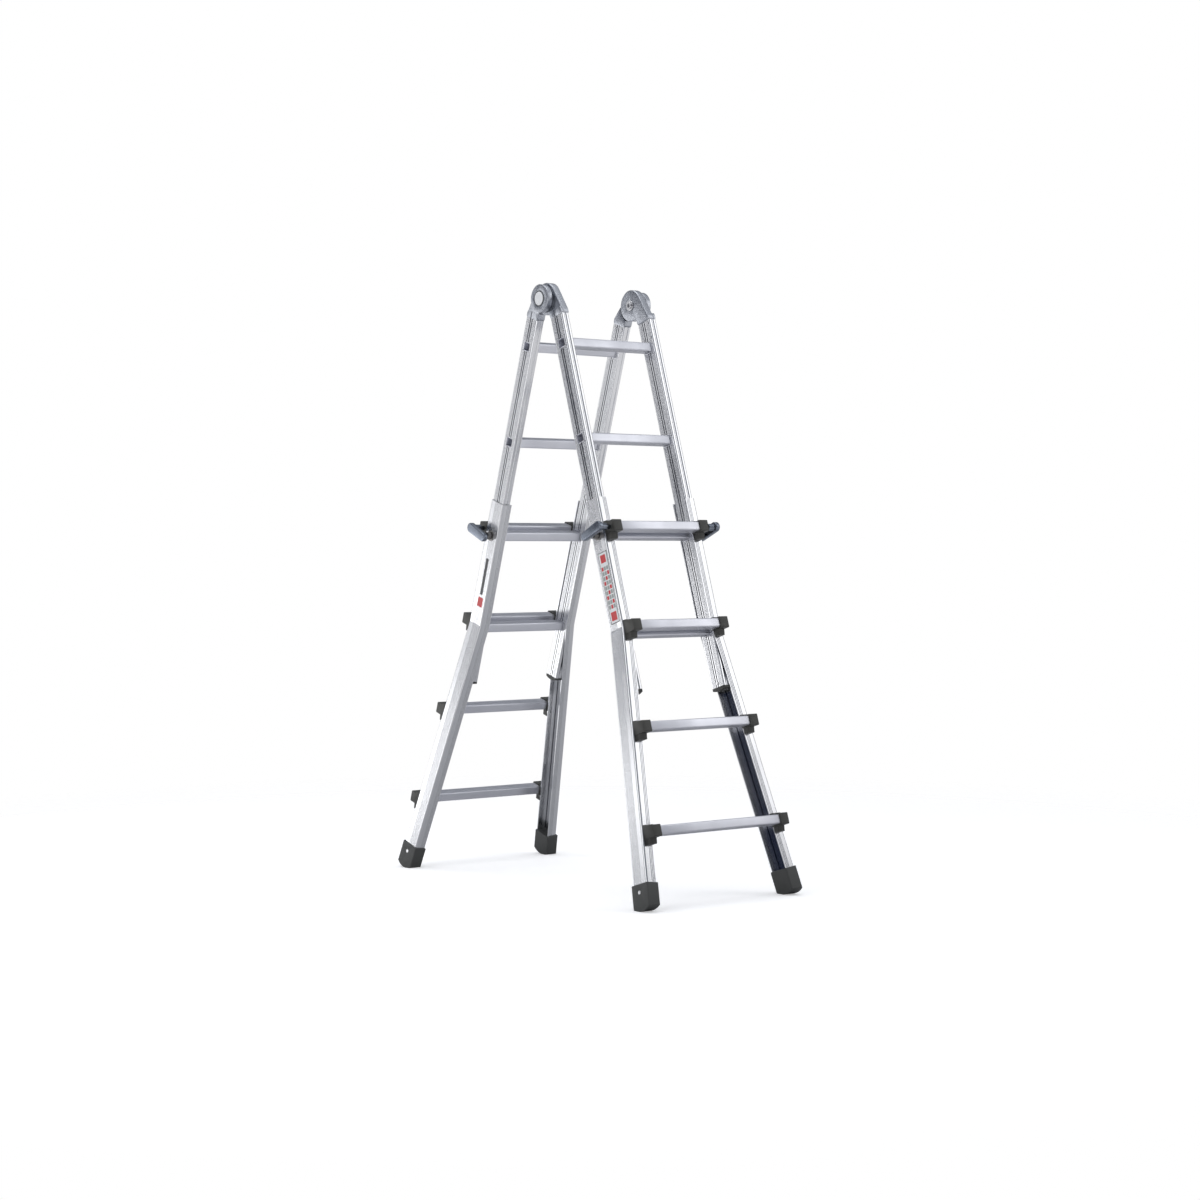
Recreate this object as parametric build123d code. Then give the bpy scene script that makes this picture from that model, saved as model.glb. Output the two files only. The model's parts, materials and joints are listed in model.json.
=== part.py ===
"""Multi position ladder: two telescoping legs joined by a pair of locking hinges.

Row frame: X runs along the rungs, the front leg leans towards -Y and the rear leg towards +Y,
Z is up, and the origin is on the floor, midway between the four feet. Millimetres.

Each leg is drawn upright in its own leg frame and then tilted into place. In a leg frame, x is the
row's X, n is the distance from the hinge axis towards the climbing side, and s is the distance
down the leg from the hinge axis.
"""
from build123d import *
import os
from math import cos, radians, sin, tan

# ---------------------------------------------------------------- driving dimensions
RUNG_PITCH = 280.0          # rung spacing of both sections
HALF_ANGLE = 17.6           # tilt of each leg from the vertical
FLARE_ANGLE = 7.2           # outward bend of the lower stiles
INNER_RUNGS = 4
OUTER_RUNGS = 4

# inner section
INNER_HALF = 170.0          # middle of the ladder to the stile's outer face
INNER_X = (144.0, INNER_HALF)
INNER_N = (12.0, 64.0)
INNER_WALL = 2.6
INNER_CORNER = 4.0
BAND_DEPTH = 1.6            # recess along the middle of each side, for the channel's ribs
INNER_TOP = 66.0            # hinge axis to the stile's top
INNER_END = 1148.0
FIRST_RUNG = 147.0          # hinge axis to the first inner rung
INNER_RUNG_N = (25.0, 53.0)
INNER_RUNG_HEIGHT = 26.0
INNER_RUNG_CORNER = 4.0
INNER_RUNG_HALF = INNER_HALF - BAND_DEPTH
RUNG_WALL = 2.0
FLUTE_RADIUS = 1.5          # fine flutes along both sections' sides
FLUTE_DEPTH = 0.7

# outer section, drawn two rung spacings below its closed place
GAP = 0.8                   # sliding gap between the inner stile and the channel
CHANNEL_WALL = 2.6
CHANNEL_WEB = INNER_HALF + GAP + CHANNEL_WALL
CHANNEL_X = (141.4, CHANNEL_WEB)
CHANNEL_N = (INNER_N[0] - GAP - CHANNEL_WALL, INNER_N[1] + GAP + CHANNEL_WALL)
LOCK_S = FIRST_RUNG + 2 * RUNG_PITCH
CHANNEL_TOP = LOCK_S - 101.0
CREASE_S = LOCK_S + 267.5
OUTER_RUNG_RISE = 8.0       # the outer rungs sit a little above the inner ones
OUTER_RUNG_HEIGHT = 25.0
OUTER_RUNG_DEPTH = 34.0
OUTER_RUNG_CORNER = 3.5
BRACKET_WALL = 3.0
BRACKET_LENGTH = 29.0
BRACKET_HEIGHT = 32.0
BRACKET_SETBACK = 5.0       # bracket's end face inside the web's outer face

# feet
FOOT_TOP = 1666.0
SOLE_RADIUS = 60.0
SOLE_S = 1678.0             # centre of the sole's curve
SOLE_FLAT = 1.0             # worn flat at the bottom of the curve
FOOT_SIDE = 3.5
FOOT_FACE = 4.5

# hinges
HINGE_BOSS_RADIUS = 40.0
HINGE_NECK_RADIUS = 35.0    # groove between the boss and the front casting
HINGE_DISC_RADIUS = 45.0
REAR_CASTING_X = (164.5, 186.0)
FRONT_CASTING_X = (141.0, 163.5)
BOSS_BACK = 169.0           # inner side of the round boss
PLATE_FACE = 174.0          # outer side of the plate that runs down from the boss
CLEAR_S = 46.0              # below this the castings stay inside the stile's outline
DISC_CLEARANCE = 4.0        # room in the rear casting's neck for the front casting to turn
SLOPE_START = 20.0          # hinge axis to the top of the plate's slope
AXLE_RADIUS = 6.0
AXLE_CLEARANCE = 0.05
KNOB_RADIUS = 22.5
KNOB_FLOOR = 172.0
KNOB_X = (178.5, 187.0)
HINGE_BOLT_RADIUS = 4.0
HINGE_BOLT_ORBIT = 17.0
TONGUE_END = 129.0
RIVET_RADIUS = 3.0
RIVET_HEAD = 5.0
HINGE_RIVET_S = (76.0, 119.0)
HINGE_RIVET_N = (22.0, 54.0)

# locks
LOCK_ARM_X = (201.0, 215.0)
LOCK_PIN_RADIUS = 6.5
LOCK_ROD_RADIUS = 6.0
LOCK_CLEARANCE = 0.3
LOCK_COLLAR_X = (CHANNEL_WEB, 190.0)
SPRING_X = (137.0, 164.0)

# worked out from the above
STILE_N = sum(INNER_N) / 2
BAND_N = (STILE_N - 7.0, STILE_N + 7.0)
INNER_RUNG_N_MID = sum(INNER_RUNG_N) / 2
OUTER_RUNG_N = (CHANNEL_N[1] + BRACKET_WALL, CHANNEL_N[1] + BRACKET_WALL + OUTER_RUNG_DEPTH)
OUTER_RUNG_N_MID = sum(OUTER_RUNG_N) / 2
HINGE_HEIGHT = (cos(radians(HALF_ANGLE)) * SOLE_S - sin(radians(HALF_ANGLE)) * STILE_N
                + SOLE_RADIUS - SOLE_FLAT)
CLOSED_ANGLE = 2 * HALF_ANGLE


def inner_rung_s(index):
    return FIRST_RUNG + index * RUNG_PITCH


def outer_rung_s(index):
    return LOCK_S - OUTER_RUNG_RISE + index * RUNG_PITCH


def web_x(s):
    """Outer face of the channel's web at distance s down the leg."""
    return CHANNEL_WEB + max(0.0, s - CREASE_S) * tan(radians(FLARE_ANGLE))


# ---------------------------------------------------------------- leg frame helpers
def block(x, n, s):
    """Box between two values of each leg coordinate."""
    size = (x[1] - x[0], n[1] - n[0], s[1] - s[0])
    return Pos(sum(x) / 2, -sum(n) / 2, -sum(s) / 2) * Box(*size)


def round_bar(x, n, s, radius):
    """Cylinder along X from x[0] to x[1]."""
    return Pos(sum(x) / 2, -n, -s) * Rot(0, 90, 0) * Cylinder(radius, x[1] - x[0])


def strip(x, n):
    """Rectangle of a cross section that will be extruded down the leg."""
    return Pos(sum(x) / 2, -sum(n) / 2) * Rectangle(x[1] - x[0], n[1] - n[0])


def down_the_leg(section, s):
    """Extrude a cross section from s[0] to s[1]."""
    return Pos(0, 0, -s[1]) * extrude(section, s[1] - s[0])


def along_x(sketch, x):
    """Extrude a sketch whose axes are -n and -s from x[0] to x[1]."""
    return Pos(x[0], 0, 0) * extrude(Plane.YZ * sketch, x[1] - x[0], dir=(1, 0, 0))


def side_profile(points, x):
    """Extrude an outline given as (n, s) points along X."""
    return along_x(make_face(Polyline(*[(-n, -s) for n, s in points], close=True)), x)


def belt(discs, x):
    """Solid around discs (n, s, radius), as a tight belt around them would outline it."""
    circles = [Pos(-n, -s) * Circle(radius) for n, s, radius in discs]
    return along_x(make_hull((Sketch() + circles).edges()), x)


def flared(shape):
    """Turn a shape drawn for the straight channel onto its bent lower part."""
    return Pos(CHANNEL_WEB, 0, -CREASE_S) * Rot(0, -FLARE_ANGLE, 0) * Pos(-CHANNEL_WEB, 0, CREASE_S) * shape


def stand(shape, leg, side="right"):
    """Move a right-hand piece of the upright leg to its place on the ladder."""
    if side == "left":
        shape = mirror(shape, Plane.YZ)
    tilt = -HALF_ANGLE
    if leg == "rear":
        shape = mirror(shape, Plane.XZ)
        tilt = HALF_ANGLE
    return Pos(0, 0, HINGE_HEIGHT) * Rot(tilt, 0, 0) * shape


def save(name, shapes):
    """Write one node, as one solid or as a group of separate solids."""
    solids = [solid for shape in shapes for solid in shape.solids()]
    node = solids[0] if len(solids) == 1 else Compound(children=solids)
    export_step(node, f"parts/{name}.step")


# ---------------------------------------------------------------- inner section
def inner_stile():
    """Ribbed box tube with a hole for each rung, rivet holes at the top and one at the bottom."""
    width, depth = INNER_X[1] - INNER_X[0], INNER_N[1] - INNER_N[0]
    centre = Pos(sum(INNER_X) / 2, -STILE_N)
    section = centre * RectangleRounded(width, depth, INNER_CORNER)
    section -= centre * Rectangle(width - 2 * INNER_WALL, depth - 2 * INNER_WALL)
    rib = 1.2
    for face, inward in ((INNER_X[1], -1), (INNER_X[0], 1)):
        floor = sorted((face, face + inward * BAND_DEPTH))
        section -= strip(floor, BAND_N)
        section += strip(floor, (STILE_N - rib, STILE_N + rib))
        for offset in (10.5, 14.5, 18.5):
            for n in (STILE_N - offset, STILE_N + offset):
                section -= flute(face, n, -inward, 0)
    hollow, hollow_depth = 9.0, 1.4
    for n in (INNER_N[0] + hollow_depth - hollow, INNER_N[1] - hollow_depth + hollow):
        section -= Pos(sum(INNER_X) / 2, -n) * Circle(hollow)
    stile = down_the_leg(section, (INNER_TOP, INNER_END))
    for index in range(INNER_RUNGS):
        stile -= inner_rung_body(inner_rung_s(index), (INNER_X[0] - 5, INNER_X[1] + 5))
    for rivet in hinge_rivets() + [cap_rivet()]:
        stile -= rivet
    return stile


def flute(x, n, out_x, out_n):
    """Round-bottomed groove in a face at (x, n) whose outward direction is (out_x, out_n)."""
    rise = FLUTE_RADIUS - FLUTE_DEPTH
    return Pos(x + out_x * rise, -(n + out_n * rise)) * Circle(FLUTE_RADIUS)


def inner_rung_body(s, x):
    """Solid filling the outside of an inner rung."""
    depth = INNER_RUNG_N[1] - INNER_RUNG_N[0]
    outline = Pos(-INNER_RUNG_N_MID, -s) * RectangleRounded(depth, INNER_RUNG_HEIGHT, INNER_RUNG_CORNER)
    return along_x(outline, x)


def inner_rung(index):
    """Hollow rung that passes through both stiles, with a swaged collar inside each of them."""
    s = inner_rung_s(index)
    depth = INNER_RUNG_N[1] - INNER_RUNG_N[0]
    rung = inner_rung_body(s, (-INNER_RUNG_HALF, INNER_RUNG_HALF))
    collar = Pos(-INNER_RUNG_N_MID, -s) * RectangleRounded(depth + 4, INNER_RUNG_HEIGHT + 4, 6.0)
    for x in ((INNER_X[0] - 3.0, INNER_X[0]), (-INNER_X[0], 3.0 - INNER_X[0])):
        rung += along_x(collar, x)
    bore = Pos(-INNER_RUNG_N_MID, -s) * Rectangle(depth - 2 * RUNG_WALL, INNER_RUNG_HEIGHT - 2 * RUNG_WALL)
    rung -= along_x(bore, (-INNER_HALF - 1, INNER_HALF + 1))
    tread = (4.0 - INNER_X[0], INNER_X[0] - 4.0)
    return rung - tread_grooves(tread, INNER_RUNG_N_MID, s, INNER_RUNG_HEIGHT, 4)


def tread_grooves(x, n_mid, s, height, count):
    """Grooves along the top and the underside of a rung."""
    pitch, width, depth = 5.0, 1.6, 0.6
    grooves = Part()
    for index in range(count):
        n = n_mid + (index - (count - 1) / 2) * pitch
        for edge, reach in ((s - height / 2, depth), (s + height / 2, -depth)):
            grooves += block(x, (n - width / 2, n + width / 2), sorted((edge, edge + reach)))
    return grooves


def inner_cap():
    """Plastic plug that closes the stile's lower end, with a rounded underside."""
    end = INNER_END + 12.0
    radius = 60.0
    cap = block((INNER_X[0], INNER_X[1] - BAND_DEPTH), INNER_N, (INNER_END, end))
    cap = fillet(cap.edges().filter_by(Axis.Z), INNER_CORNER)
    cap &= round_bar((0, 200), STILE_N, end - radius, radius)
    cap += block((INNER_X[0] + INNER_WALL, INNER_X[1] - INNER_WALL),
                 (INNER_N[0] + INNER_WALL, INNER_N[1] - INNER_WALL), (INNER_END - 22.0, INNER_END))
    return cap - cap_rivet()


def cap_rivet():
    """Rivet through the stile's end and its plug."""
    s = INNER_END - 11.0
    rivet = round_bar(INNER_X, STILE_N, s, 2.5)
    return rivet + round_bar((INNER_X[0] - 1.2, INNER_X[0]), STILE_N, s, 4.5)


# ---------------------------------------------------------------- hinges
def hinge_rivets():
    """Four rivets through the top of a stile, countersunk where the channel slides over them."""
    rivets = []
    for s in HINGE_RIVET_S:
        for n in HINGE_RIVET_N:
            rivet = round_bar(INNER_X, n, s, RIVET_RADIUS)
            rivet += round_bar((INNER_X[1] - 1.0, INNER_X[1] + 0.3), n, s, RIVET_HEAD)
            rivet += round_bar((INNER_X[0] - 1.5, INNER_X[0]), n, s, RIVET_HEAD)
            rivets.append(rivet)
    return rivets


def hinge_tongue():
    """Part of a hinge casting that fills the top of its stile."""
    return block((INNER_X[0] + INNER_WALL, INNER_X[1] - INNER_WALL),
                 (INNER_N[0] + INNER_WALL, INNER_N[1] - INNER_WALL), (INNER_TOP - 3.0, TONGUE_END))


def casting_outline(radius, x, corner=6.0):
    """Round boss on the hinge axis that widens into a neck over the top of the stile."""
    near, far = INNER_N[0] + corner, INNER_N[1] - corner
    shoulders = [(near, CLEAR_S - corner, corner), (far, CLEAR_S + 8.0, corner)]
    feet = [(n, INNER_TOP - corner, corner) for n in (near, far)]
    room = block(x, (-2 * radius, 2 * radius), (-2 * radius, CLEAR_S)) + block(x, INNER_N, (0, INNER_TOP))
    return (belt([(0, 0, radius)] + shoulders, x) & room) + belt(shoulders + feet, x)


def band_recess():
    """Room on a casting's outer face for the retracted channel's ribs."""
    return block((INNER_HALF - BAND_DEPTH, INNER_HALF + 1.0), BAND_N, (CLEAR_S, INNER_TOP + 1.0))


def axle_hole(x):
    return round_bar(x, 0, 0, AXLE_RADIUS + AXLE_CLEARANCE)


def front_casting():
    """Inner half of the hinge: a thick disc with blind holes that the knob's bolts drop into."""
    casting = casting_outline(HINGE_DISC_RADIUS, FRONT_CASTING_X)
    casting = chamfer(casting.edges().filter_by(GeomType.CIRCLE).sort_by(SortBy.RADIUS)[-2:], 2.0)
    neck = casting_outline(HINGE_DISC_RADIUS, (FRONT_CASTING_X[1] - 1.0, INNER_HALF))
    casting += neck & block((130, 180), INNER_N, (CLEAR_S, INNER_TOP))
    casting += hinge_tongue()
    casting -= axle_hole((130, 180)) + band_recess()
    for rivet in hinge_rivets():
        casting -= rivet
    return casting


def rear_casting():
    """Outer half of the hinge: a round boss proud of a plate that slopes back into the rear stile."""
    boss = round_bar((BOSS_BACK, REAR_CASTING_X[1]), 0, 0, HINGE_BOSS_RADIUS)
    boss = chamfer(boss.edges().filter_by(GeomType.CIRCLE), 1.2)
    plate = casting_outline(HINGE_NECK_RADIUS, (REAR_CASTING_X[0], PLATE_FACE)) & side_slope()
    neck = casting_outline(HINGE_NECK_RADIUS, (INNER_X[0], REAR_CASTING_X[0]))
    neck &= block((130, 180), INNER_N, (0, INNER_TOP))
    casting = boss + plate + neck + hinge_tongue()
    casting -= round_bar((130, REAR_CASTING_X[0]), 0, 0, HINGE_DISC_RADIUS + DISC_CLEARANCE)
    casting -= round_bar((KNOB_FLOOR, 200), 0, 0, KNOB_RADIUS + 0.4)
    casting -= axle_hole((130, 200)) + band_recess()
    for bolt in hinge_bolts(HINGE_BOLT_RADIUS + LOCK_CLEARANCE):
        casting -= bolt
    for rivet in hinge_rivets():
        casting -= rivet
    return casting


def side_slope():
    """Wedge that slopes the plate's outer face back to the stile."""
    low, high = 160.0, 60.0
    corners = [(low, high), (PLATE_FACE, high), (PLATE_FACE, -SLOPE_START), (INNER_HALF, -CLEAR_S),
               (INNER_HALF, -INNER_TOP - 1.0), (low, -INNER_TOP - 1.0)]
    face = make_face(Polyline(*corners, close=True))
    return Pos(0, 100, 0) * extrude(Plane.XZ * face, 200, dir=(0, -1, 0))


def hinge_bolts(radius, length=(164.0, 180.0)):
    """The knob's two lock bolts, on opposite sides of the axle."""
    return [round_bar(length, 0, sign * HINGE_BOLT_ORBIT, radius) for sign in (-1, 1)]


def hinge_knob():
    """Round cap in the boss with its two lock bolts, drawn clear of the front casting."""
    knob = round_bar(KNOB_X, 0, 0, KNOB_RADIUS)
    knob = chamfer(knob.edges().filter_by(GeomType.CIRCLE).sort_by(Axis.X)[-1], 1.0)
    knob -= round_bar((KNOB_X[0], KNOB_X[1] - 3.0), 0, 0, 11.0)
    for bolt in hinge_bolts(HINGE_BOLT_RADIUS):
        knob += bolt
    return knob


def hinge_axle():
    """Bolt through both castings, with a socket head inside the ladder and a nut under the knob."""
    washer = (FRONT_CASTING_X[0] - 3.0, FRONT_CASTING_X[0])
    head = (washer[0] - 3.5, washer[0])
    axle = round_bar((head[0], KNOB_FLOOR + 4.0), 0, 0, AXLE_RADIUS)
    axle += chamfer(round_bar(washer, 0, 0, 15.0).edges(), 0.6)
    axle += chamfer(round_bar(head, 0, 0, 10.0).edges().sort_by(Axis.X)[0], 1.0)
    axle += along_x(RegularPolygon(9.0, 6), (KNOB_FLOOR, KNOB_FLOOR + 4.0))
    return axle - along_x(RegularPolygon(6.5, 6), (head[0], head[0] + 5.5))


def knob_spring():
    """Flat spring ring that lifts the knob off the boss's floor."""
    ring = round_bar((KNOB_FLOOR, KNOB_FLOOR + 2.0), 0, 0, 12.4)
    return ring - round_bar((KNOB_FLOOR, KNOB_FLOOR + 2.0), 0, 0, 9.6)


# ---------------------------------------------------------------- outer section
def channel_section():
    """C section that wraps the inner stile, open towards the other stile."""
    width, depth, corner = 40.0, CHANNEL_N[1] - CHANNEL_N[0], 5.0
    section = Pos(CHANNEL_WEB - width / 2, -STILE_N) * RectangleRounded(width, depth, corner)
    section -= strip((CHANNEL_WEB - width, CHANNEL_X[0]), CHANNEL_N)
    section -= strip((CHANNEL_X[0], CHANNEL_WEB - CHANNEL_WALL),
                     (CHANNEL_N[0] + CHANNEL_WALL, CHANNEL_N[1] - CHANNEL_WALL))
    rib = 1.2
    for offset in (-4.0, 4.0):
        section += strip((INNER_HALF - BAND_DEPTH + 0.6, CHANNEL_WEB - CHANNEL_WALL),
                         (STILE_N + offset - rib, STILE_N + offset + rib))
    for index in range(7):
        section -= flute(CHANNEL_WEB, STILE_N - 21.0 + index * 4.5, 1, 0)
    for x in (145.5, 150.0, 154.5):
        section -= flute(x, CHANNEL_N[1], 0, 1)
        section -= flute(x, CHANNEL_N[0], 0, -1)
    return section


def channel():
    """Straight channel that bends outward at the crease, without its holes."""
    section = channel_section()
    bottom = 1712.0
    crease = Plane(origin=(CHANNEL_WEB, 0, -CREASE_S),
                   z_dir=(sin(radians(FLARE_ANGLE / 2)), 0, -cos(radians(FLARE_ANGLE / 2))))
    upper = split(down_the_leg(section, (CHANNEL_TOP, CREASE_S + 20)), crease, Keep.BOTTOM)
    lower = split(flared(down_the_leg(section, (CREASE_S - 20, bottom))), crease, Keep.TOP)
    return upper + lower


def outer_stile():
    """Channel with its lock hole and the holes for the bracket and foot rivets."""
    stile = channel() - lock_pin_hole() - foot_rivet()
    for index in range(OUTER_RUNGS):
        stile -= bracket_rivet(index)
    return stile


def bracket_x(index):
    """Span along X of the bracket on the right-hand end of an outer rung."""
    end = web_x(outer_rung_s(index)) - BRACKET_SETBACK
    return (end - BRACKET_LENGTH, end)


def outer_rung(index):
    """Hollow tread held between its two end brackets."""
    s = outer_rung_s(index)
    half = bracket_x(index)[1] - BRACKET_WALL
    outline = Pos(-OUTER_RUNG_N_MID, -s) * RectangleRounded(OUTER_RUNG_DEPTH, OUTER_RUNG_HEIGHT, OUTER_RUNG_CORNER)
    bore = Pos(-OUTER_RUNG_N_MID, -s) * RectangleRounded(OUTER_RUNG_DEPTH - 2 * RUNG_WALL,
                                                         OUTER_RUNG_HEIGHT - 2 * RUNG_WALL, 1.0)
    rung = along_x(outline - bore, (-half, half))
    tread = bracket_x(index)[0] - 4.0
    return rung - tread_grooves((-tread, tread), OUTER_RUNG_N_MID, s, OUTER_RUNG_HEIGHT, 5)


def rung_bracket(index):
    """Plastic cap over the end of an outer rung, with a gusset down the channel's flange."""
    s = outer_rung_s(index)
    x = bracket_x(index)
    back, front = CHANNEL_N[1], CHANNEL_N[1] + BRACKET_WALL + OUTER_RUNG_DEPTH + BRACKET_WALL
    half = BRACKET_HEIGHT / 2
    cap = block(x, (back, front), (s - half, s + half))
    cap = fillet(cap.edges().filter_by(Axis.X).sort_by(Axis.Y)[:2], 3.0)
    saddle = side_profile([(back, s - half), (back, s - half - 6.0), (back + 12.0, s - half - 5.0),
                           (back + 20.0, s - half)], (x[0] + 2.0, x[1]))
    gusset = side_profile([(back, s + half), (back + 20.0, s + half), (back + 17.0, s + half + 16.0),
                           (back, s + half + 16.0)], (x[0] + 4.0, x[1] - 2.0))
    bracket = cap + saddle + gusset
    pocket = Pos(-OUTER_RUNG_N_MID, -s) * RectangleRounded(OUTER_RUNG_DEPTH, OUTER_RUNG_HEIGHT,
                                                           OUTER_RUNG_CORNER)
    bracket -= along_x(pocket, (x[0] - 1.0, x[1] - BRACKET_WALL))
    if index == 0:
        bracket -= round_bar((x[0], x[1] + 1), OUTER_RUNG_N_MID, s, LOCK_ROD_RADIUS + LOCK_CLEARANCE)
    return bracket - bracket_rivet(index)


def bracket_rivet(index):
    """Rivet that holds a bracket's gusset to the flange, flush inside the channel."""
    s = outer_rung_s(index) + BRACKET_HEIGHT / 2 + 8.0
    rivet = Pos(sum(bracket_x(index)) / 2, 0, -s) * Rot(90, 0, 0) * Cylinder(2.5, 12.0 + CHANNEL_WALL)
    return Pos(0, -(CHANNEL_N[1] + (12.0 - CHANNEL_WALL) / 2), 0) * rivet


def foot():
    """Plastic boot over the channel's end, with a plug inside it and a rounded sole."""
    top = CREASE_S + (FOOT_TOP - CREASE_S) / cos(radians(FLARE_ANGLE))
    shell = block((CHANNEL_X[0] - FOOT_SIDE, CHANNEL_X[1] + FOOT_SIDE),
                  (CHANNEL_N[0] - FOOT_FACE, CHANNEL_N[1] + FOOT_FACE), (top, top + 110.0))
    shell = fillet(shell.edges().filter_by(Axis.Z), 3.0)
    shell = chamfer(shell.faces().sort_by(Axis.Z)[-1].edges(), 1.0)
    sole = (round_bar((150, 350), STILE_N, SOLE_S, SOLE_RADIUS)
            + block((150, 350), (CHANNEL_N[0] - 20, CHANNEL_N[1] + 20), (FOOT_TOP - 60, SOLE_S)))
    return (flared(shell) & sole) - channel() - foot_rivet()


def foot_rivet():
    """Rivet through the boot, the channel's web and the plug."""
    s = FOOT_TOP + 28.0
    face = CHANNEL_WEB + FOOT_SIDE
    rivet = round_bar((CHANNEL_WEB - 12.0, face), STILE_N, s, RIVET_RADIUS)
    return flared(rivet + round_bar((face, face + 1.2), STILE_N, s, RIVET_HEAD))


# ---------------------------------------------------------------- locks
def lock_pin_hole():
    return round_bar((INNER_HALF - 5, 200), INNER_RUNG_N_MID, LOCK_S, LOCK_PIN_RADIUS + LOCK_CLEARANCE)


def lock_collar():
    """Guide bush for the lock pin, on the outside of the web."""
    collar = round_bar(LOCK_COLLAR_X, INNER_RUNG_N_MID, LOCK_S, 10.5)
    collar += round_bar((LOCK_COLLAR_X[0], LOCK_COLLAR_X[0] + 3.0), INNER_RUNG_N_MID, LOCK_S, 15.0)
    return collar - lock_pin_hole()


def lock_handle():
    """Arm that joins the lock pin to a guide rod running inside the first outer rung."""
    rod_s = outer_rung_s(0)
    arm = belt([(OUTER_RUNG_N_MID + 3.0, rod_s, 14.0), (INNER_N[0] + 14.0, LOCK_S + 1.0, 12.0)], LOCK_ARM_X)
    arm = fillet(arm.edges().group_by(Axis.X)[-1] + arm.edges().group_by(Axis.X)[0], 3.0)
    arm += round_bar((INNER_HALF + 0.4, LOCK_ARM_X[0] + 1), INNER_RUNG_N_MID, LOCK_S, LOCK_PIN_RADIUS)
    arm += round_bar((181.0, LOCK_ARM_X[0] + 1), OUTER_RUNG_N_MID, rod_s, 10.0)
    arm += round_bar((114.0, 182.0), OUTER_RUNG_N_MID, rod_s, LOCK_ROD_RADIUS)
    return arm + round_bar((114.0, 124.0), OUTER_RUNG_N_MID, rod_s, 9.0)


def lock_spring():
    """Coil around the guide rod, drawn at its shortest, seated against the bracket."""
    wire, pitch, radius = 0.9, 4.0, 8.2
    helix = Helix(pitch, SPRING_X[1] - SPRING_X[0], radius)
    coil = sweep(Plane(origin=helix @ 0, z_dir=helix % 0) * Circle(wire), path=helix)
    return Pos(SPRING_X[0], -OUTER_RUNG_N_MID, -outer_rung_s(0)) * Rot(0, 90, 0) * coil


# ---------------------------------------------------------------- nodes
def bolt_holes():
    """Blind holes for the knob's bolts in the front castings, at the ladder's locked angles."""
    holes = []
    for side in ("left", "right"):
        for bolt in hinge_bolts(HINGE_BOLT_RADIUS + LOCK_CLEARANCE, (154.0, 170.0)):
            placed = stand(bolt, "rear", side)
            for angle in (0, -CLOSED_ANGLE):
                turn = Pos(0, 0, HINGE_HEIGHT) * Rot(angle, 0, 0) * Pos(0, 0, -HINGE_HEIGHT)
                holes.append(turn * placed)
    return holes


def front_only(side):
    casting = stand(front_casting(), "front", side)
    for hole in bolt_holes():
        casting -= hole
    save(f"front_hinge_casting_{side}", [casting])


def rear_only(side):
    save(f"rear_hinge_casting_{side}", [stand(rear_casting(), "rear", side)])
    save(f"hinge_knob_{side}", [stand(hinge_knob(), "rear", side)])
    save(f"hinge_axle_{side}", [stand(hinge_axle(), "rear", side)])


def write_leg(leg):
    """Write the pieces that both legs have."""
    floor = Pos(0, 0, -50) * Box(4000, 4000, 100)
    sided = {
        "inner_stile": [inner_stile()],
        "inner_end_cap": [inner_cap()],
        "outer_stile": [outer_stile()],
        "rung_brackets": [rung_bracket(index) for index in range(OUTER_RUNGS)],
        "lock_handle": [lock_handle()],
    }
    boot = foot()
    paired = {
        "inner_rivets": hinge_rivets() + [cap_rivet()],
        "outer_rivets": [bracket_rivet(index) for index in range(OUTER_RUNGS)] + [foot_rivet()],
        "lock_collars": [lock_collar()],
        "lock_springs": [lock_spring()],
    }
    for side in ("left", "right"):
        for name, shapes in sided.items():
            save(f"{leg}_{name}_{side}", [stand(shape, leg, side) for shape in shapes])
        save(f"{leg}_foot_{side}", [stand(boot, leg, side) - floor])
    for name, shapes in paired.items():
        save(f"{leg}_{name}", [stand(shape, leg, side) for side in ("left", "right") for shape in shapes])
    for index in range(INNER_RUNGS):
        save(f"{leg}_inner_rung_{index + 1}", [stand(inner_rung(index), leg)])
    for index in range(OUTER_RUNGS):
        save(f"{leg}_outer_rung_{index + 1}", [stand(outer_rung(index), leg)])


if __name__ == "__main__":
    os.makedirs("parts", exist_ok=True)
    for leg in ("front", "rear"):
        write_leg(leg)
    for side in ("left", "right"):
        front_only(side)
        rear_only(side)
    springs = [stand(knob_spring(), "rear", side) for side in ("left", "right")]
    save("hinge_knob_springs", springs)
    print(f"hinge axis height {HINGE_HEIGHT:.1f}")
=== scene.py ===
import json
from math import cos, pi, radians, sin

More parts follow.
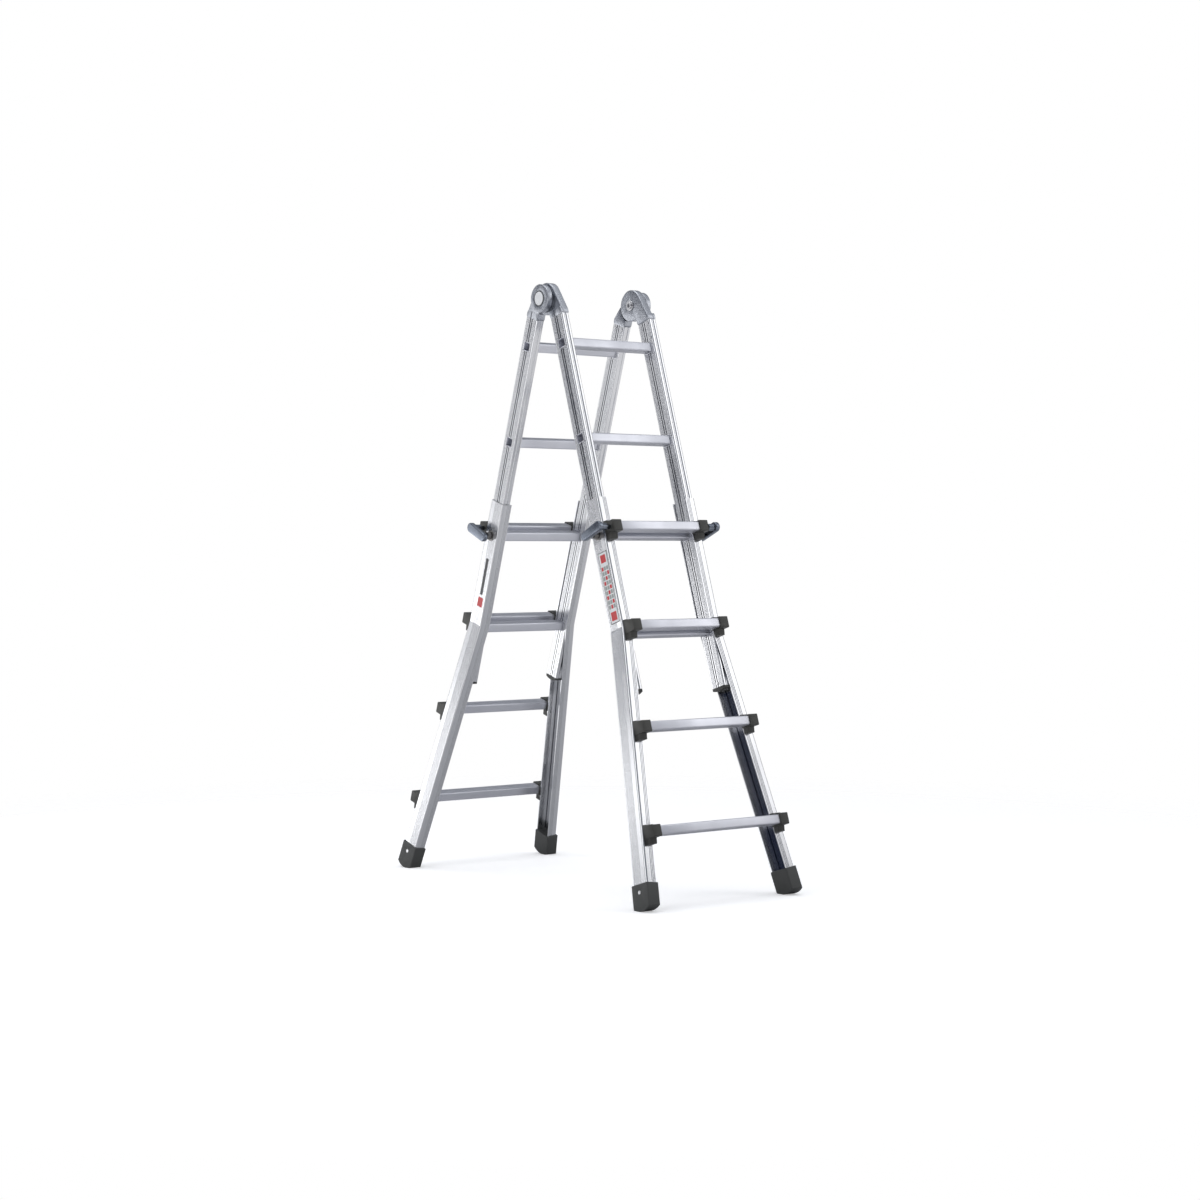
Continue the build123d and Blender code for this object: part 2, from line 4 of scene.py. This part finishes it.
import bmesh
import bpy
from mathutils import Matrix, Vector

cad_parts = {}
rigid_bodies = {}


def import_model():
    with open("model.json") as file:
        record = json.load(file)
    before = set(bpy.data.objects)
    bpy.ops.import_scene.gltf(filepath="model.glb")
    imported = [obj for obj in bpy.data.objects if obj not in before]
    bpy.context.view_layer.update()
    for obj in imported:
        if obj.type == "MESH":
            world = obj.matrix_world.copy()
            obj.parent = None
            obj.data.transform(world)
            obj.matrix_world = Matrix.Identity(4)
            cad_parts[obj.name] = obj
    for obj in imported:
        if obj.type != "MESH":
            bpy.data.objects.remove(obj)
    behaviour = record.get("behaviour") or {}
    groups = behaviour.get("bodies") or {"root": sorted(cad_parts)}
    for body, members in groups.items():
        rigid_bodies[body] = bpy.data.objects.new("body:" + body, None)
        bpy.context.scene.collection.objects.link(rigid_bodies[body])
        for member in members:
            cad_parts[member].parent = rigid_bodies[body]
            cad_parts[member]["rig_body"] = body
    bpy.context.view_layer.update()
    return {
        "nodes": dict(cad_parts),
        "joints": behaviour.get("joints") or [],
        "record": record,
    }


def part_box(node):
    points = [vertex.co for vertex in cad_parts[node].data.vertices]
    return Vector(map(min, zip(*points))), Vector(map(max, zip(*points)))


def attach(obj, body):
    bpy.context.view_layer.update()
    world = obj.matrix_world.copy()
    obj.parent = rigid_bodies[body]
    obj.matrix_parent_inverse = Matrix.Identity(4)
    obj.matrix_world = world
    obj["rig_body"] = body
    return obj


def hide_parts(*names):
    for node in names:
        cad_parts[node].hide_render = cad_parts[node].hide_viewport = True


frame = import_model()
NODES = frame["nodes"]
JOINTS = {joint["name"]: joint for joint in frame["joints"]}
LEGS = {"front": -1, "rear": 1}
SIDES = {"left": -1, "right": 1}

HINGE_HEIGHT = JOINTS["hinge_fold"]["pos_m"][2]
WEB_X = 0.1734      # middle of the ladder to the outer face of an outer stile's straight part
HALF_ANGLE = radians(JOINTS["hinge_fold"]["range_deg"][1]) / 2


# ---------------------------------------------------------------- shader helpers
class Nodes:
    """A node tree, with one short method for each kind of node that is used more than once."""

    def __init__(self, tree):
        self.tree = tree
        tree.nodes.clear()

    def link(self, source, target):
        self.tree.links.new(source, target)

    def put(self, target, value):
        """Set an input to a number or colour, or link it to another node's output."""
        if isinstance(value, bpy.types.NodeSocket):
            self.link(value, target)
        else:
            target.default_value = value

    def node(self, kind, inputs=None, **settings):
        made = self.tree.nodes.new(kind)
        for key, value in settings.items():
            setattr(made, key, value)
        for key, value in (inputs or {}).items():
            self.put(made.inputs[key], value)
        return made

    def span(self, value, low, high, to_low=0.0, to_high=1.0):
        made = self.node("ShaderNodeMapRange", {
            "Value": value, "From Min": low, "From Max": high, "To Min": to_low, "To Max": to_high})
        return made.outputs["Result"]

    def blend(self, factor, first, second):
        made = self.node("ShaderNodeMix", data_type="RGBA")
        self.put(made.inputs["Factor"], factor)
        self.put(made.inputs["A"], first)
        self.put(made.inputs["B"], second)
        return made.outputs["Result"]

    def maths(self, operation, first, second):
        made = self.node("ShaderNodeMath", operation=operation)
        self.put(made.inputs[0], first)
        self.put(made.inputs[1], second)
        return made.outputs[0]


class Shader(Nodes):
    """A material with one Principled shader."""

    def __init__(self, name):
        self.material = bpy.data.materials.new(name)
        self.material.use_nodes = True
        super().__init__(self.material.node_tree)
        self.output = self.node("ShaderNodeOutputMaterial")
        self.surface = self.node("ShaderNodeBsdfPrincipled")
        self.link(self.surface.outputs[0], self.output.inputs[0])

    def place(self, tilt=0.0, scale=(1, 1, 1)):
        """Object coordinates, turned so that Z runs along a tilted leg, then stretched."""
        coords = self.node("ShaderNodeTexCoord").outputs["Object"]
        turned = self.node("ShaderNodeMapping", {"Vector": coords, "Rotation": (tilt, 0, 0)})
        stretched = self.node("ShaderNodeMapping", {"Vector": turned.outputs[0], "Scale": scale})
        return stretched.outputs[0]

    def noise(self, vector, scale, detail=3.0, rough=0.5, distortion=0.0):
        made = self.node("ShaderNodeTexNoise", {
            "Vector": vector, "Scale": scale, "Detail": detail,
            "Roughness": rough, "Distortion": distortion})
        return made.outputs["Fac"]

    def painted_crevice_shade(self, reach):
        """Painted shade mask: 0 in grooves and corners, where ambient occlusion finds shade, and 1 on open
        faces.
        """
        made = self.node("ShaderNodeAmbientOcclusion", {"Distance": reach}, samples=6, only_local=True)
        return self.span(made.outputs["AO"], 0.45, 0.92)

    def bump(self, height, strength, distance):
        made = self.node("ShaderNodeBump", {"Height": height, "Strength": strength, "Distance": distance})
        return made.outputs[0]

    def finish(self, **inputs):
        for key, value in inputs.items():
            self.put(self.surface.inputs[key.replace("_", " ")], value)
        return self.material


def rgb(red, green, blue):
    return (red, green, blue, 1.0)


# ---------------------------------------------------------------- materials
def extruded_aluminium(name, tilt, tint, rough):
    """Satin profile: die lines and light scratches that run along it, a few soft smudges, and painted shade
    that turns its grooves near-black navy.
    """
    shader = Shader(name)
    along = shader.place(tilt, (1.0, 1.0, 0.02))
    die_lines = shader.noise(along, 900.0, 4.0, 0.7)
    scratches = shader.span(shader.noise(along, 260.0, 6.0, 0.8), 0.62, 0.72)
    smudges = shader.noise(shader.place(tilt, (1.0, 1.0, 0.35)), 9.0, 3.0)
    colour = shader.blend(shader.span(smudges, 0.35, 0.7), rgb(*tint), rgb(*(0.93 * c for c in tint)))
    colour = shader.blend(shader.maths("MULTIPLY", scratches, 0.25), colour, rgb(0.5, 0.51, 0.54))
    gloss = shader.span(smudges, 0.3, 0.75, rough - 0.05, rough + 0.08)
    gloss = shader.maths("ADD", gloss, shader.maths("MULTIPLY", die_lines, 0.06))
    # Painted shade: ambient occlusion darkens the flutes and corners to near-black navy.
    colour = shader.blend(shader.painted_crevice_shade(0.004), rgb(0.03, 0.035, 0.055), colour)
    relief = shader.bump(die_lines, 0.25, 0.0002)
    return shader.finish(Base_Color=colour, Metallic=1.0, Roughness=gloss, Normal=relief)


def cast_metal(name, tint, rough, grain=0.0004):
    """Die-cast metal: a fine blasted grain, brighter on worn high spots, with painted shade darkening its
    hollows.
    """
    shader = Shader(name)
    here = shader.place()
    grains = shader.noise(here, 1400.0, 3.0, 0.6)
    patches = shader.noise(here, 38.0, 4.0)
    colour = shader.blend(shader.span(patches, 0.35, 0.7), rgb(*tint), rgb(*(0.82 * c for c in tint)))
    worn = rgb(*(min(1.0, 1.35 * c) for c in tint))
    colour = shader.blend(shader.span(grains, 0.6, 0.75, 0.0, 0.5), colour, worn)
    gloss = shader.span(patches, 0.3, 0.7, rough - 0.06, rough + 0.06)
    # Painted shade: ambient occlusion darkens hollows and edges to near-black.
    colour = shader.blend(shader.painted_crevice_shade(0.003), rgb(0.03, 0.032, 0.04), colour)
    return shader.finish(Base_Color=colour, Metallic=1.0, Roughness=gloss,
                         Normal=shader.bump(grains, 0.5, grain))


def moulded_plastic(name, tint, rough, grain=0.0005):
    """Moulded plastic: a leathery grain, scuffed lighter in patches."""
    shader = Shader(name)
    here = shader.place()
    grains = shader.noise(here, 1100.0, 2.0, 0.5)
    scuffs = shader.span(shader.noise(here, 60.0, 8.0, 0.75), 0.58, 0.72)
    scuffed = rgb(*(c + 0.03 for c in tint))
    colour = shader.blend(shader.maths("MULTIPLY", scuffs, 0.55), rgb(*tint), scuffed)
    colour = shader.blend(shader.span(grains, 0.45, 0.75, 0.0, 0.4), colour, rgb(*(1.6 * c for c in tint)))
    gloss = shader.span(scuffs, 0.0, 1.0, rough, rough + 0.15)
    return shader.finish(Base_Color=colour, Roughness=gloss, Normal=shader.bump(grains, 0.6, grain))


def plated_steel(name, tint, rough):
    """Zinc plate with a faint spangle."""
    shader = Shader(name)
    here = shader.place()
    spangle = shader.noise(here, 500.0, 2.0)
    colour = shader.blend(spangle, rgb(*tint), rgb(*(0.8 * c for c in tint)))
    return shader.finish(Base_Color=colour, Metallic=1.0,
                         Roughness=shader.span(spangle, 0.3, 0.7, rough - 0.05, rough + 0.1),
                         Normal=shader.bump(spangle, 0.2, 0.0002))


def pale_floor(clear, gone):
    """White floor that thins out to nothing between two distances from the object."""
    shader = Shader("studio_floor")
    coords = shader.node("ShaderNodeTexCoord").outputs["Object"]
    cloud = shader.noise(coords, 0.6, 2.0)
    colour = shader.blend(cloud, rgb(0.97, 0.97, 0.97), rgb(0.95, 0.95, 0.955))
    seen = shader.node("ShaderNodeLightPath").outputs["Is Camera Ray"]
    colour = shader.blend(seen, rgb(0.62, 0.62, 0.63), colour)
    distance = shader.node("ShaderNodeVectorMath", {0: coords}, operation="LENGTH")
    thin = shader.span(distance.outputs["Value"], clear, gone)
    see_through = shader.node("ShaderNodeBsdfTransparent")
    mixed = shader.node("ShaderNodeMixShader",
                        {0: thin, 1: shader.surface.outputs[0], 2: see_through.outputs[0]})
    shader.link(mixed.outputs[0], shader.output.inputs[0])
    return shader.finish(Base_Color=colour, Roughness=0.8, Specular_IOR_Level=0.1,
                         Emission_Color=rgb(1.0, 1.0, 1.0),
                         Emission_Strength=shader.maths("MULTIPLY", seen, 0.4))


def vinyl(name, tint):
    """Smooth printed vinyl with a faint orange-peel surface and a little dirt."""
    shader = Shader(name)
    peel = shader.noise(shader.place(), 700.0, 2.0)
    dirt = shader.span(shader.noise(shader.place(), 90.0, 6.0), 0.5, 0.8, 0.0, 0.3)
    colour = shader.blend(dirt, rgb(*tint), rgb(*(0.8 * c for c in tint)))
    return shader.finish(Base_Color=colour, Roughness=0.32, Normal=shader.bump(peel, 0.15, 0.0002))


ALUMINIUM = (0.74, 0.745, 0.76)
MATERIALS = {
    "stile_front": extruded_aluminium("stile_aluminium_front", HALF_ANGLE, ALUMINIUM, 0.17),
    "stile_rear": extruded_aluminium("stile_aluminium_rear", -HALF_ANGLE, ALUMINIUM, 0.17),
    "rung": extruded_aluminium("rung_aluminium", 0.0, (0.72, 0.73, 0.78), 0.34),
    "casting": cast_metal("hinge_casting_aluminium", (0.5, 0.52, 0.56), 0.3),
    "lock": cast_metal("lock_handle_metal", (0.22, 0.245, 0.29), 0.2, 0.0001),
    "collar": cast_metal("lock_collar_metal", (0.3, 0.29, 0.28), 0.4),
    "bracket": moulded_plastic("bracket_plastic", (0.045, 0.045, 0.039), 0.42),
    "foot": moulded_plastic("foot_plastic", (0.07, 0.072, 0.068), 0.5),
    "cap": moulded_plastic("cap_plastic", (0.05, 0.05, 0.046), 0.45),
    "knob": moulded_plastic("knob_plastic", (0.2, 0.215, 0.23), 0.38),
    "fastener": plated_steel("fastener_steel", (0.75, 0.75, 0.76), 0.25),
    "spring": plated_steel("spring_steel", (0.45, 0.45, 0.46), 0.3),
    "white": vinyl("white_vinyl", (0.84, 0.85, 0.86)),
    "grey": vinyl("grey_vinyl", (0.03, 0.032, 0.036)),
    "pale": vinyl("pale_grey_vinyl", (0.35, 0.38, 0.37)),
    "red": vinyl("red_vinyl", (0.62, 0.03, 0.035)),
}
SLOT_MATERIALS = {
    "cast_aluminium": "casting",
    "rung_aluminium": "rung",
    "bracket_plastic": "bracket",
    "foot_plastic": "foot",
    "cap_plastic": "cap",
    "knob_finish": "knob",
    "spring_steel": "spring",
    "lock_metal": "lock",
    "collar_metal": "collar",
    "fastener_steel": "fastener",
}


def material_for(node, slot):
    if slot == "extruded_aluminium":
        return MATERIALS["stile_front" if node.startswith("front") else "stile_rear"]
    return MATERIALS[SLOT_MATERIALS[slot]]


def paint_nodes():
    """Give each CAD node the material of its slot in the record."""
    for subpart in frame["record"]["subparts"]:
        node = NODES[subpart["node"]]
        node.data.materials.clear()
        node.data.materials.append(material_for(subpart["node"], subpart["material_slot"]))


# ---------------------------------------------------------------- pieces
def leg_point(leg, x, n, s):
    """Leg frame to row frame: n metres out to the climbing side, s metres down from the hinge axis."""
    across = sin(HALF_ANGLE) * s + cos(HALF_ANGLE) * n
    return Vector((x, LEGS[leg] * across, HINGE_HEIGHT - cos(HALF_ANGLE) * s + sin(HALF_ANGLE) * n))


def place_piece(name, build, body, material):
    """Put a finished bmesh in the scene as a piece that rides on a body."""
    bmesh.ops.recalc_face_normals(build, faces=build.faces)
    mesh = bpy.data.meshes.new(name)
    build.to_mesh(mesh)
    build.free()
    mesh.materials.append(material)
    made = bpy.data.objects.new(name, mesh)
    bpy.context.scene.collection.objects.link(made)
    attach(made, body)
    return made


def softened(node, width, least_angle=28.0):
    """Stand a copy of a CAD node in for it, with its sharp edges broken as making it leaves them."""
    source = NODES[node]
    build = bmesh.new()
    build.from_mesh(source.data)
    bmesh.ops.remove_doubles(build, verts=build.verts, dist=2e-6)
    bmesh.ops.dissolve_limit(build, angle_limit=radians(0.6), verts=build.verts, edges=build.edges)
    sharp = [edge for edge in build.edges
             if len(edge.link_faces) == 2 and edge.calc_face_angle() > radians(least_angle)]
    bmesh.ops.bevel(build, geom=sharp, offset=width, segments=2, profile=0.6, affect="EDGES",
                    clamp_overlap=True, harden_normals=False)
    slot = next(part["material_slot"] for part in frame["record"]["subparts"] if part["node"] == node)
    made = place_piece(node + "_finished", build, source["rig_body"], material_for(node, slot))
    for face in made.data.polygons:
        face.use_smooth = True
    made.data.set_sharp_from_angle(angle=radians(40))
    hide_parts(node)
    return made


def sticker(name, leg, side, patches, material, lift=0.0):
    """Blank vinyl on an outer stile's side. Each patch is ((n from, n to), (s from, s to))."""
    corner, thickness = 0.0015, 0.0002
    web = WEB_X + lift
    build = bmesh.new()
    for n_span, s_span in patches:
        near, far = n_span[0] + corner, n_span[1] - corner
        top, bottom = s_span[0] + corner, s_span[1] - corner
        outline = []
        for n, s, start in ((near, top, 180), (far, top, 270), (far, bottom, 0), (near, bottom, 90)):
            for step in range(7):
                angle = radians(start + 15 * step)
                place = leg_point(leg, SIDES[side] * web, n + corner * cos(angle), s + corner * sin(angle))
                outline.append(build.verts.new(place))
        face = build.faces.new(outline)
        raised = bmesh.ops.extrude_face_region(build, geom=[face])
        for item in raised["geom"]:
            if isinstance(item, bmesh.types.BMVert):
                item.co.x += SIDES[side] * thickness
    return place_piece(name, build, f"{leg}_outer_section", material)


def stickers():
    """A bordered panel of blank coloured cells on one leg, and two plain blocks on the other."""
    layer = 0.00021
    ends = [((0.030, 0.052), (0.765, 0.787)), ((0.029, 0.053), (0.926, 0.950))]
    red, grey = [], []
    for row in range(9):
        for column in range(3):
            near, top = 0.0262 + 0.0105 * column, 0.798 + 0.0135 * row
            cell = ((near, near + 0.0085), (top, top + 0.0105))
            (red if (row + column) % 3 == 0 else grey).append(cell)
    sticker("panel_border", "front", "left", [((0.022, 0.060), (0.757, 0.958))], MATERIALS["grey"])
    sticker("panel_sheet", "front", "left", [((0.024, 0.058), (0.759, 0.956))], MATERIALS["white"], layer)
    sticker("panel_red_cells", "front", "left", red + ends, MATERIALS["red"], 2 * layer)
    sticker("panel_grey_cells", "front", "left", grey, MATERIALS["pale"], 2 * layer)
    sticker("block_red", "rear", "left", [((0.020, 0.044), (0.893, 0.921))], MATERIALS["red"])
    sticker("block_grey", "rear", "left", [((0.028, 0.040), (0.775, 0.885))], MATERIALS["grey"])


def turned(side, profile, segments=96):
    """Mesh turned about the hinge axis from (radius, height) points, standing on that side's knob."""
    low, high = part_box(f"hinge_knob_{side}")
    face_x = high.x if side == "right" else low.x
    build = bmesh.new()
    rings = []
    for radius, height in profile:
        ring = []
        for step in range(segments):
            angle = 2 * pi * step / segments
            place = (face_x + SIDES[side] * height, radius * cos(angle), HINGE_HEIGHT + radius * sin(angle))
            ring.append(build.verts.new(place))
        rings.append(ring)
    for first, second in zip(rings, rings[1:] + rings[:1]):
        for here in range(segments):
            there = (here + 1) % segments
            build.faces.new((first[here], first[there], second[there], second[here]))
    return build


def knob_disc(side):
    """Blank printed disc set in a dark ring on the hinge knob's face."""
    for part, inner, outer, rise, colour in (("ring", 0.0194, 0.0217, 0.0005, "grey"),
                                             ("disc", 0.0001, 0.0194, 0.0003, "white")):
        profile = [(inner, 0.0), (inner, rise), (outer - 0.0003, rise), (outer, rise - 0.0002), (outer, 0.0)]
        place_piece(f"hinge_knob_{part}_{side}", turned(side, profile), f"hinge_lock_{side}",
                    MATERIALS[colour])


def finish_pieces():
    """Softened copies for what is cast, moulded or cut, each with the width of its broken edges."""
    for side in SIDES:
        softened(f"hinge_knob_{side}", 0.0006)
        knob_disc(side)
        for leg in LEGS:
            softened(f"{leg}_hinge_casting_{side}", 0.0007)
            softened(f"{leg}_rung_brackets_{side}", 0.0006)
            softened(f"{leg}_foot_{side}", 0.0008)
            softened(f"{leg}_lock_handle_{side}", 0.0008)
            softened(f"{leg}_inner_end_cap_{side}", 0.0004)
    for leg in LEGS:
        for number in range(1, 5):
            softened(f"{leg}_outer_rung_{number}", 0.0003)
            softened(f"{leg}_inner_rung_{number}", 0.0003)


# ---------------------------------------------------------------- studio
def camera():
    """A long lens a little below eye level, seen from the left of the front leg."""
    data = bpy.data.cameras.new("camera")
    data.lens = 71.81
    data.sensor_width = 36.0
    data.clip_end = 200.0
    made = bpy.data.objects.new("camera", data)
    made.location = (-4.1977, -5.3843, 0.949)
    heading, pitch = radians(38.143), radians(-1.243)
    made.rotation_euler = (radians(90) + pitch, 0.0, -heading)
    bpy.context.scene.collection.objects.link(made)
    bpy.context.scene.camera = made


def floor():
    """Round floor under the object, which thins out before its edge."""
    mesh = bpy.data.meshes.new("studio_floor")
    reach = 3.2
    grid = bmesh.new()
    bmesh.ops.create_circle(grid, cap_ends=True, radius=reach, segments=96)
    grid.to_mesh(mesh)
    grid.free()
    made = bpy.data.objects.new("studio_floor", mesh)
    mesh.materials.append(pale_floor(0.9, reach))
    bpy.context.scene.collection.objects.link(made)


def softbox(name, aim, azimuth, elevation, distance, size, power):
    """Area light that faces the aim point from a compass direction (0 is +Y, 90 is +X)."""
    light = bpy.data.lights.new(name, "AREA")
    light.shape = "RECTANGLE"
    light.size, light.size_y = size
    light.energy = power
    made = bpy.data.objects.new(name, light)
    turn, rise = radians(azimuth), radians(elevation)
    away = Vector((sin(turn) * cos(rise), cos(turn) * cos(rise), sin(rise)))
    made.location = Vector(aim) + away * distance
    made.rotation_euler = away.to_track_quat("Z", "Y").to_euler()
    made.visible_camera = False
    bpy.context.scene.collection.objects.link(made)


# What the metal reflects. WALLS goes once round the horizon, from -X through -Y, +X and +Y,
# as (place, colour).
NAVY = (0.008, 0.014, 0.04)
PALE = (0.62, 0.62, 0.64)
GREY = (0.12, 0.13, 0.16)
WALLS = [
    (0.00, GREY),
    (0.06, NAVY),
    (0.24, NAVY),
    (0.31, GREY),
    (0.37, PALE),
    (0.45, PALE),
    (0.53, NAVY),
    (0.76, NAVY),
    (0.84, GREY),
    (0.88, NAVY),
    (0.94, GREY),
    (1.00, GREY),
]
ROOF = (0.6, 0.62, 0.66)
GROUND = (0.85, 0.85, 0.87)


def world():
    """White to the camera, and to everything else a pale studio with dark blue-grey flags round it."""
    made = bpy.data.worlds.new("studio")
    bpy.context.scene.world = made
    made.use_nodes = True
    nodes = Nodes(made.node_tree)
    direction = nodes.node("ShaderNodeTexCoord").outputs["Generated"]
    split = nodes.node("ShaderNodeSeparateXYZ", {0: direction})
    azimuth = nodes.maths("ARCTAN2", split.outputs["Y"], split.outputs["X"])
    walls = nodes.node("ShaderNodeValToRGB", {"Fac": nodes.span(azimuth, -pi, pi)})
    ramp = walls.color_ramp
    while len(ramp.elements) < len(WALLS):
        ramp.elements.new(0.5)
    for element, (place, value) in zip(ramp.elements, WALLS):
        element.position = place
        element.color = rgb(*value)
    height = split.outputs["Z"]
    colour = nodes.blend(nodes.span(height, 0.25, 0.9), walls.outputs["Color"], rgb(*ROOF))
    colour = nodes.blend(nodes.span(height, -0.03, -0.09), colour, rgb(*GROUND))
    lit = nodes.node("ShaderNodeBackground", {"Color": colour, "Strength": 1.0})
    seen = nodes.node("ShaderNodeBackground", {"Color": rgb(1.0, 1.0, 1.0), "Strength": 1.0})
    to_camera = nodes.node("ShaderNodeLightPath").outputs["Is Camera Ray"]
    mixed = nodes.node("ShaderNodeMixShader", {0: to_camera, 1: lit.outputs[0], 2: seen.outputs[0]})
    nodes.node("ShaderNodeOutputWorld", {"Surface": mixed.outputs[0]})


bpy.context.scene.view_settings.view_transform = "Standard"
camera()
world()
floor()
paint_nodes()
finish_pieces()
stickers()
AIM = (0.0, 0.0, 0.8)
softbox("key", AIM, 136.0, 27.0, 5.0, (2.0, 3.0), 20.0)
softbox("left", AIM, -100.0, 14.0, 5.0, (3.5, 3.5), 60.0)
softbox("back_low", AIM, -39.0, -4.0, 5.0, (2.5, 0.8), 8.5)
softbox("back_near", (-0.1, 0.29, 0.85), -29.0, 0.0, 2.23, (1.1, 2.6), 9.0)
softbox("top", AIM, 0.0, 88.0, 4.0, (3.0, 3.0), 45.0)
